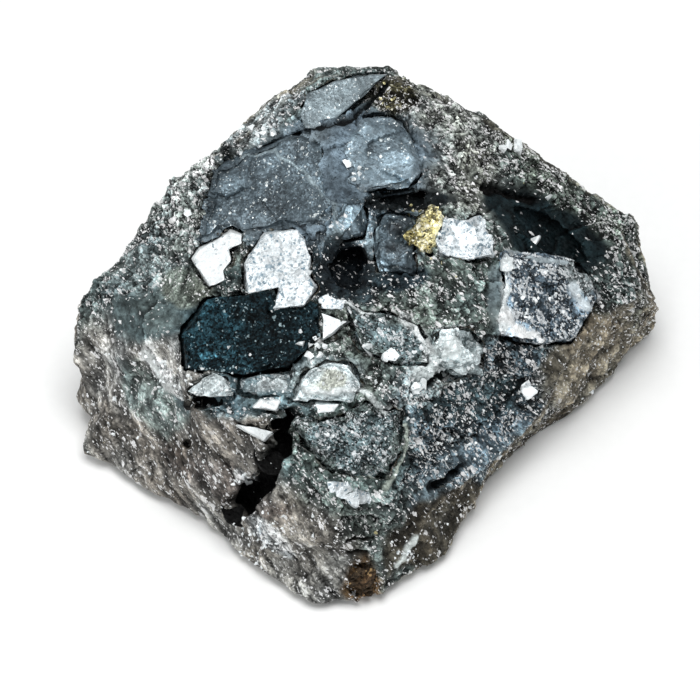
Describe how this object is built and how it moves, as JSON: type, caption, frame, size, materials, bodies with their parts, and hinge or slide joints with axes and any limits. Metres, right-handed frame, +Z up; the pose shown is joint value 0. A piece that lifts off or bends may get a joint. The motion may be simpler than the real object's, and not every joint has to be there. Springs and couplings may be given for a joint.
{
  "type": "skutterudite specimen",
  "caption": "Hand specimen of dark massive cobalt ore with bright tin-white crystals grown over its sloping upper side, rough broken flanks and a flat broken base.",
  "frame": {"origin": "under the middle of the specimen, on the plane it rests on", "axes": "+Z up, +X along the specimen's width, +Y towards its high back; the crystal-bearing side slopes down towards -Y"},
  "size_m": [0.0558, 0.0464, 0.0269],
  "materials": {
    "ore": "matte",
    "fresh_arsenide": "polished",
    "tarnished_arsenide": "satin",
    "granular_arsenide": "matte",
    "dark_arsenide": "satin",
    "pale_arsenide": "satin",
    "chalcopyrite": "satin",
    "limonite": "matte"
  },
  "bodies": {
    "root": {"ore_matrix": "ore", "crown_crystal": "tarnished_arsenide", "slab_crystal": "tarnished_arsenide", "dome_crystal": "tarnished_arsenide", "column_crystal_left": "tarnished_arsenide", "column_crystal_right": "tarnished_arsenide", "block_crystal": "granular_arsenide", "dark_hex_crystal": "dark_arsenide", "ridge_crystal": "dark_arsenide", "front_facet_crystal": "dark_arsenide", "bright_hex_crystal": "fresh_arsenide", "bright_left_crystal": "fresh_arsenide", "bright_right_crystal": "fresh_arsenide", "upper_shard": "fresh_arsenide", "lower_shard": "fresh_arsenide", "left_chip": "fresh_arsenide", "right_chip": "fresh_arsenide", "sliver_crystal": "fresh_arsenide", "front_crystal": "fresh_arsenide", "side_grain": "fresh_arsenide", "patch_crystal": "pale_arsenide", "shelf_crystal": "pale_arsenide", "plate_crystal": "pale_arsenide", "wedge_crystal": "pale_arsenide", "gold_grain": "chalcopyrite", "rust_nub": "limonite"}
  },
  "joints": []
}
